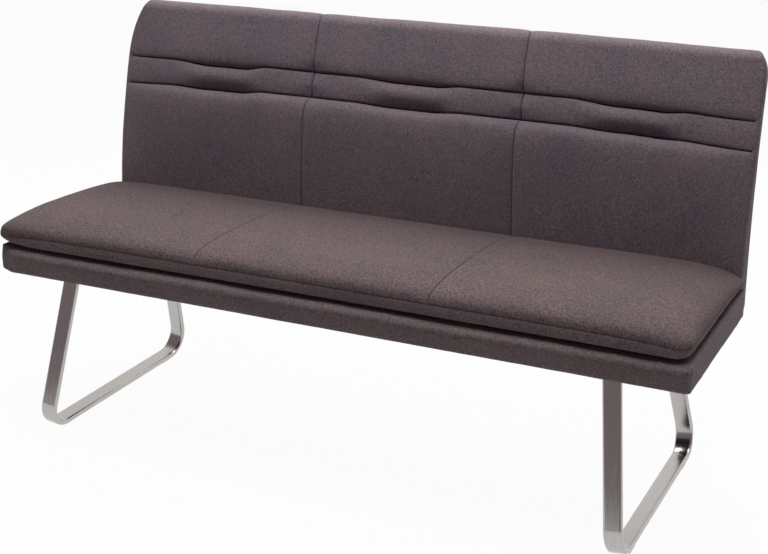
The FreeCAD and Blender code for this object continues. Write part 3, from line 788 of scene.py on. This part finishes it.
def end_height(x):
    """From 0 at the cushion's ends to 1 where it is full, by a rounded curve."""
    reach = 0.050 if x < 0 else 0.072
    power = 2.4
    away = clamp((cushion_half - abs(x)) / reach)
    return (1 - (1 - away) ** power) ** (1 / power)


def crown_height(x, back):
    """The cushion's height over its seam at a place along it and a distance from its front."""
    return crown(back * crown_depth / cushion_depth) * end_height(x)


def closeness(distance, reach):
    """From 1 at an end to 0 at a reach from it, steep near the end."""
    return (1 - clamp(distance / reach)) ** 2


def edge_drop(x, y):
    """How far the cushion's ends hang lower, most of all at its right rear corner."""
    both = closeness(cushion_half - abs(x), 0.20)
    right = closeness(cushion_half - x, 0.11)
    rear = 1 - smooth(0.0, 0.16, cushion_rear - y)
    return 0.0075 * both + 0.012 * right * rear


def kept_height(x):
    """How much of that drop the cushion's left end makes up by its fullness."""
    return 0.0055 * closeness(cushion_half + x, 0.22)


def cushion_top(column):
    """One of the three sewn top panels of the seat cushion."""
    low, high = {"left": (-cushion_half, -cushion_seam_x),
                 "centre": (-cushion_seam_x, cushion_seam_x),
                 "right": (cushion_seam_x, cushion_half)}[column]
    sewn_low = column != "left"
    sewn_high = column != "right"
    low += seam_gap if sewn_low else 0.0
    high -= seam_gap if sewn_high else 0.0
    length = high - low
    middle = cushion_front + cushion_depth / 2
    seam_lift = 0.0004
    free_height = 0.012
    rows = []
    for back, tuck_y in stations(cushion_depth, coarse=0.0055):
        y = cushion_front + back
        seam_pull = 1 - 0.7 * smooth(0.12, 0.36, back)
        row = []
        for d, tuck_x in stations(length, coarse=0.0055):
            x = low + d
            drawn = 0.0
            for away, sewn in ((d, sewn_low), (length - d, sewn_high)):
                if sewn:
                    drawn += seam_pull * (edge_roll(away, 0.0020) + 0.0026 * fade(away, 0.012)
                                          + 0.0014 * fade(away, 0.05))
            z = cushion_seam + seam_lift + crown_height(x, back)
            rise = clamp((z - cushion_seam) / free_height)
            z -= drawn * rise
            z += rise * (0.0013 * ripple(x, y, 2.2, 5.0) + 0.0007 * ripple(x, y, 7.7, 16.0)
                         + 0.00022 * ripple(x, y, 9.1, 60.0))
            z += rise * kept_height(x) - edge_drop(x, y)
            px, py = plan_point(x, y)
            if tuck_y:
                py += math.copysign(tuck_y, middle - y)
            if tuck_x:
                if (d == 0.0 and sewn_low) or (d > 0.0 and sewn_high):
                    z -= tuck_x * rise
                else:
                    px -= math.copysign(tuck_x, px)
            row.append(Vector((px, py, z)))
        rows.append(row)
    return rows


def around_cushion():
    """Points round the cushion's edge, each with the way out from there."""
    step = 0.006
    count = round(2 * cushion_half / step)
    along_x = [2 * cushion_half * i / count for i in range(count + 1)]
    along_y = places(cushion_depth, step)[1:-1]
    points = [plan_point(-cushion_half + d, cushion_front) for d in along_x]
    points += [plan_point(cushion_half, cushion_front + d) for d in along_y]
    points += [plan_point(cushion_half - d, cushion_rear) for d in along_x]
    points += [plan_point(-cushion_half, cushion_rear - d) for d in along_y]
    loop = []
    for i, (x, y) in enumerate(points):
        before = points[i - 2]
        after = points[(i + 2) % len(points)]
        along = Vector((after[0] - before[0], after[1] - before[1])).normalized()
        loop.append((x, y, along.y, -along.x))
    return loop


# The border's section: the way out from the cushion's edge, and up from its seam
border_height = 0.0281
border_profile = ((-0.0075, 0.0000), (-0.0030, -0.0001), (-0.0010, -0.0003), (-0.0002, -0.0010),
                  (0.0001, -0.0030), (0.0004, -0.0065), (0.0004, -0.0105), (0.0001, -0.0150),
                  (-0.0010, -0.0195), (-0.0032, -0.0232), (-0.0070, -0.0260), (-0.0125, -0.0274),
                  (-0.0195, -0.0279), (-0.0320, -border_height))


def cushion_border():
    """The border round the cushion, which tucks under it, most of all at its left end."""
    left_tuck, right_tuck, front_tuck = 0.026, 0.007, 0.022
    loop = around_cushion()
    rows = []
    for out, up in border_profile:
        under = (-up / border_height) ** 1.4
        free = clamp(-up / 0.012)
        row = []
        for x, y, out_x, out_y in loop:
            uneven = free * (0.0010 * ripple(x, y, 1.7, 9.0) + 0.0005 * ripple(x, y, 6.1, 28.0))
            near = closeness(cushion_half - abs(x), 0.12)
            tucked = (left_tuck if x < 0 else right_tuck) * near * under
            drawn = front_tuck * near * under if x < 0 and out_y < 0 else 0.0
            drop = edge_drop(x, y) * (1 + up / border_height)
            row.append(Vector((x + out_x * (out + uneven) - math.copysign(tucked, x),
                               y + out_y * (out + uneven) + drawn * -out_y,
                               cushion_seam + up + 0.7 * uneven - drop)))
        rows.append(row)
    return rows


for column in columns:
    dress(make_piece("seat_cushion_pad_" + column, cushion_top(column), seat_cloth_painted_shade),
          "upholstery_fabric", 0.85, "seat_cushion_top_" + column)
dress(make_piece("seat_cushion_edge_band", cushion_border(), base_cloth, looped=True, ring=True),
      "upholstery_fabric", 0.85, "seat_cushion_border")


# Seat base

# The base's section at its front: the way out from the box, and up from its lower edge
base_profile = ((-0.030, 0.0002), (-0.016, -0.0003), (-0.003, -0.0004), (0.0022, 0.0004),
                (0.0054, 0.0030), (0.0078, 0.0075), (0.0102, 0.0150), (0.0130, 0.0230),
                (0.0157, 0.0310), (0.0178, 0.0375), (0.0187, 0.0425), (0.0183, 0.0470),
                (0.0160, 0.0512), (0.0114, 0.0546), (0.0045, 0.0572), (-0.0040, 0.0590),
                (-0.016, 0.0604), (-0.045, 0.0615))


def around_base():
    """Points round the base, each with the way out from there. Its two front corners are round."""
    corner = 0.012
    long_steps, side_steps, corner_steps = 240, 44, 8
    inner_x = seat_half - corner
    low_y = seat_front + corner
    high_y = seat_rear - 0.004
    turns = [math.pi / 2 * k / corner_steps for k in range(1, corner_steps)]
    along_x = [2 * inner_x * i / long_steps for i in range(long_steps + 1)]
    along_y = [(high_y - low_y) * i / side_steps for i in range(side_steps + 1)]
    points = [(-inner_x + d, seat_front, 0.0, -1.0) for d in along_x]
    points += [(inner_x + corner * math.sin(turn), low_y - corner * math.cos(turn),
                math.sin(turn), -math.cos(turn)) for turn in turns]
    points += [(seat_half, low_y + d, 1.0, 0.0) for d in along_y]
    points += [(inner_x - d, seat_rear, 0.0, 1.0) for d in along_x]
    points += [(-seat_half, high_y - d, -1.0, 0.0) for d in along_y]
    points += [(-inner_x - corner * math.cos(turn), low_y - corner * math.sin(turn),
                -math.cos(turn), -math.sin(turn)) for turn in turns]
    return points


def base_sides():
    """The base's cover: a stuffed roll along its front, flat sides and a rounded left corner."""
    side_share = 0.08
    corner_lift = 0.009
    end_taper = 0.011
    loop = around_base()
    rows = []
    for out, up in base_profile:
        lift = smooth(0.03, 0.06, up)
        row = []
        for x, y, out_x, out_y in loop:
            free = clamp((seat_rear - y) / 0.03)
            uneven = free * (0.0011 * ripple(x, y, up * 6, 7.0)
                             + 0.0020 * lift * ripple(x, y, 3.3, 15.0)
                             + 0.0006 * ripple(x, y, up * 4, 34.0))
            ended = smooth(0.0, 0.055, seat_half - abs(x)) if x < 0 else 1.0
            front = max(-out_y * ended, side_share) if free > 0.5 else 0.0
            bulge = min(out, -0.0002) + max(out, 0.0) * front
            hang = 0.0026 * (1 - front) * (1 - smooth(0.0, 0.03, up))
            if x < 0:
                at_end = 1 - smooth(0.0, 0.035, seat_half + x)
                at_corner = at_end * (1 - smooth(0.0, 0.05, y - seat_front))
                hang -= corner_lift * at_corner * (1 - smooth(0.0, 0.02, up))
            bulge -= end_taper * (1 - ended) * max(-out_y, 0.3) * smooth(0.028, 0.062, up)
            row.append(Vector((x + out_x * (bulge + uneven), y + out_y * (bulge + uneven),
                               base_low + up - hang + 0.6 * uneven * lift)))
        rows.append(row)
    return rows


dress(make_piece("seat_base_upholstery", base_sides(), base_cloth, looped=True, ring=True),
      "upholstery_fabric", 0.9, "seat_base_cover", "seat_base_padding")
dust_rows = flat_sheet(x_half=0.761, y_low=seat_front + 0.014, y_high=seat_front + 0.429,
                       z=0.3646, sag=0.0006, seed=3.0)
dust = make_piece("seat_base_lining", dust_rows, lining, closed=False)
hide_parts("seat_dust_cover")
under_rows = flat_sheet(x_half=0.7380, y_low=seat_front + 0.0035, y_high=seat_front + 0.4272,
                        z=cushion_low + 0.0012, sag=0.0004, seed=8.0)
under = make_piece("seat_cushion_lining", under_rows, lining, closed=False)
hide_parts("seat_cushion_underside_cloth")


# Foam inside the cushion and the back

def cushion_core():
    """A foam slab that follows the cushion's crown and narrows towards its underside."""
    inset = 0.015
    cover_depth = 0.0135
    lowest = -0.014
    rows = []
    for back in places(cushion_depth - 2 * inset, coarse=0.016):
        row = []
        for d in places(2 * cushion_half - 2 * inset, coarse=0.020):
            x = d - cushion_half + inset
            y = cushion_front + inset + back
            px, py = plan_point(x, y)
            height = crown_height(x, back + inset) - cover_depth
            row.append(Vector((px, py, cushion_seam + max(height - edge_drop(x, y), lowest))))
        rows.append(row)
    middle = (cushion_front + cushion_rear) / 2
    edge = [[Vector((p.x * 0.96, middle + (p.y - middle) * 0.80, cushion_low + 0.004)) for p in row]
            for row in (rows[0], rows[-1])]
    return [edge[0]] + rows + [edge[1]]


def back_core():
    """A foam slab with a hollow behind the pleats."""
    low, high = 0.060, back_shoulder - 0.028
    half = 0.7545
    rear_depth, front_depth, hollow_depth = 0.0238, 0.0165, 0.0068
    up_steps, long_steps = 30, 60
    front = [(low + (high - low) * k / up_steps, None) for k in range(up_steps + 1)]
    rows = []
    for s, depth in [(low, rear_depth)] + front + [(high, rear_depth)]:
        hollow = smooth(lower_pleat - 0.035, lower_pleat - 0.012, s)
        hollow *= 1 - smooth(upper_pleat + 0.012, upper_pleat + 0.035, s)
        row = []
        for i in range(long_steps + 1):
            x = half * (2 * i / long_steps - 1)
            uneven = 0.0005 * ripple(x, s, 1.0, 12.0)
            n = depth or front_depth + hollow_depth * hollow + uneven
            row.append(back_point(x, n, s))
        rows.append(row)
    return rows


dress(make_piece("seat_cushion_core", cushion_core(), foam), "foam", 1.0, "seat_cushion_foam")
dress(make_piece("back_core_pad", back_core(), foam), "foam", 1.0, "back_foam")


# Floor: pale, and plain white to the camera and in mirrors

floor_shape = bmesh.new()
bmesh.ops.create_grid(floor_shape, x_segments=24, y_segments=24, size=5.0)
floor_mesh = bpy.data.meshes.new("floor")
floor_shape.to_mesh(floor_mesh)
floor_shape.free()
floor = bpy.data.objects.new("floor", floor_mesh)
floor.location = (0.0, seat_front + 4.2, 0.0)
scene.collection.objects.link(floor)
pure_white = (1.0, 1.0, 1.0, 1.0)
white_share = 0.96
ground = Material("pale_floor")
ground.feed(Base_Color=ground.ramp(ground.noise(40.0, detail=3.0), (0.3, 0.76), (0.7, 0.80)))
ground.set(Roughness=0.9, Specular_IOR_Level=0.1)
seen = ground.add("ShaderNodeLightPath").outputs
white = ground.add("ShaderNodeEmission", Color=pure_white, Strength=1.0)
direct = ground.math("MAXIMUM", seen["Is Camera Ray"], seen["Is Glossy Ray"])
through = ground.math("MAXIMUM", direct, seen["Is Transmission Ray"])
surface = ground.blend(ground.math("MULTIPLY", through, white_share),
                       ground.shader.outputs["BSDF"], white.outputs["Emission"])
ground.link(surface, ground.output, "Surface")
floor_mesh.materials.append(ground.material)


# World: white paper to the camera, and a room that is darker in front for light and mirrors

room_front = (0.275, 0.232, 0.246, 1.0)
room_rear = (1.0, 0.985, 0.96, 1.0)
side_weight = -0.5
world = bpy.data.worlds.new("studio")
scene.world = world
world.use_nodes = True
sky = Tree(world.node_tree)
ray = sky.add("ShaderNodeLightPath").outputs
way = sky.add("ShaderNodeSeparateXYZ")
sky.link(sky.add("ShaderNodeTexCoord").outputs["Generated"], way, "Vector")
aside = sky.math("ABSOLUTE", way.outputs["X"])
ahead = sky.math("MULTIPLY_ADD", aside, side_weight, way.outputs["Y"])
facing = sky.add("ShaderNodeMapRange", interpolation_type="SMOOTHSTEP",
                 From_Min=-0.55, From_Max=0.35)
sky.link(ahead, facing, "Value")
room = sky.add("ShaderNodeMix", data_type="RGBA")
room.inputs[Tree.mix_first].default_value = room_front
room.inputs[Tree.mix_second].default_value = room_rear
sky.link(facing.outputs["Result"], room, "Factor")
ambient = sky.add("ShaderNodeBackground", Strength=0.30)
mirror = sky.add("ShaderNodeBackground")
for background in (ambient, mirror):
    sky.link(room.outputs[Tree.mix_result], background, "Color")
paper = sky.add("ShaderNodeBackground", Color=pure_white)
glossy = sky.blend(ray["Is Glossy Ray"], ambient.outputs[0], mirror.outputs[0])
plain = sky.math("MAXIMUM", ray["Is Camera Ray"], ray["Is Transmission Ray"])
straight = sky.blend(plain, glossy, paper.outputs[0])
sky.link(straight, sky.add("ShaderNodeOutputWorld"), "Surface")


# Lamps and camera

def soft_light(name, place, target, size, power, colour):
    """A broad lamp at a place, turned to a target."""
    lamp = bpy.data.lights.new(name, "AREA")
    lamp.shape = "RECTANGLE"
    lamp.size, lamp.size_y = size
    lamp.energy = power
    lamp.color = colour
    lamp_object = bpy.data.objects.new(name, lamp)
    lamp_object.location = place
    aim = Vector(target) - Vector(place)
    lamp_object.rotation_euler = aim.to_track_quat("-Z", "Y").to_euler()
    scene.collection.objects.link(lamp_object)


soft_light("overhead", (0.0, seat_front - 0.20, 2.9), target=(0.0, seat_front + 0.05, 0.6),
           size=(2.6, 1.0), power=53.0, colour=(1.0, 0.98, 0.97))
soft_light("behind", (0.0, seat_front + 1.80, 2.8), target=(0.0, seat_front + 0.20, 0.5),
           size=(2.6, 1.2), power=55.0, colour=(1.0, 0.98, 0.95))

camera_data = bpy.data.cameras.new("camera")
camera_data.sensor_fit = "HORIZONTAL"
camera_data.sensor_width = 36.0
camera_data.lens = 67.75
look_down = 0.3443
look_round = 0.4478
camera = bpy.data.objects.new("camera", camera_data)
camera.location = (1.3067, seat_front - 2.3670, 1.4365)
camera.rotation_euler = (math.pi / 2 - look_down, 0.0, look_round)
scene.collection.objects.link(camera)
scene.camera = camera
scene.view_settings.view_transform = "Standard"
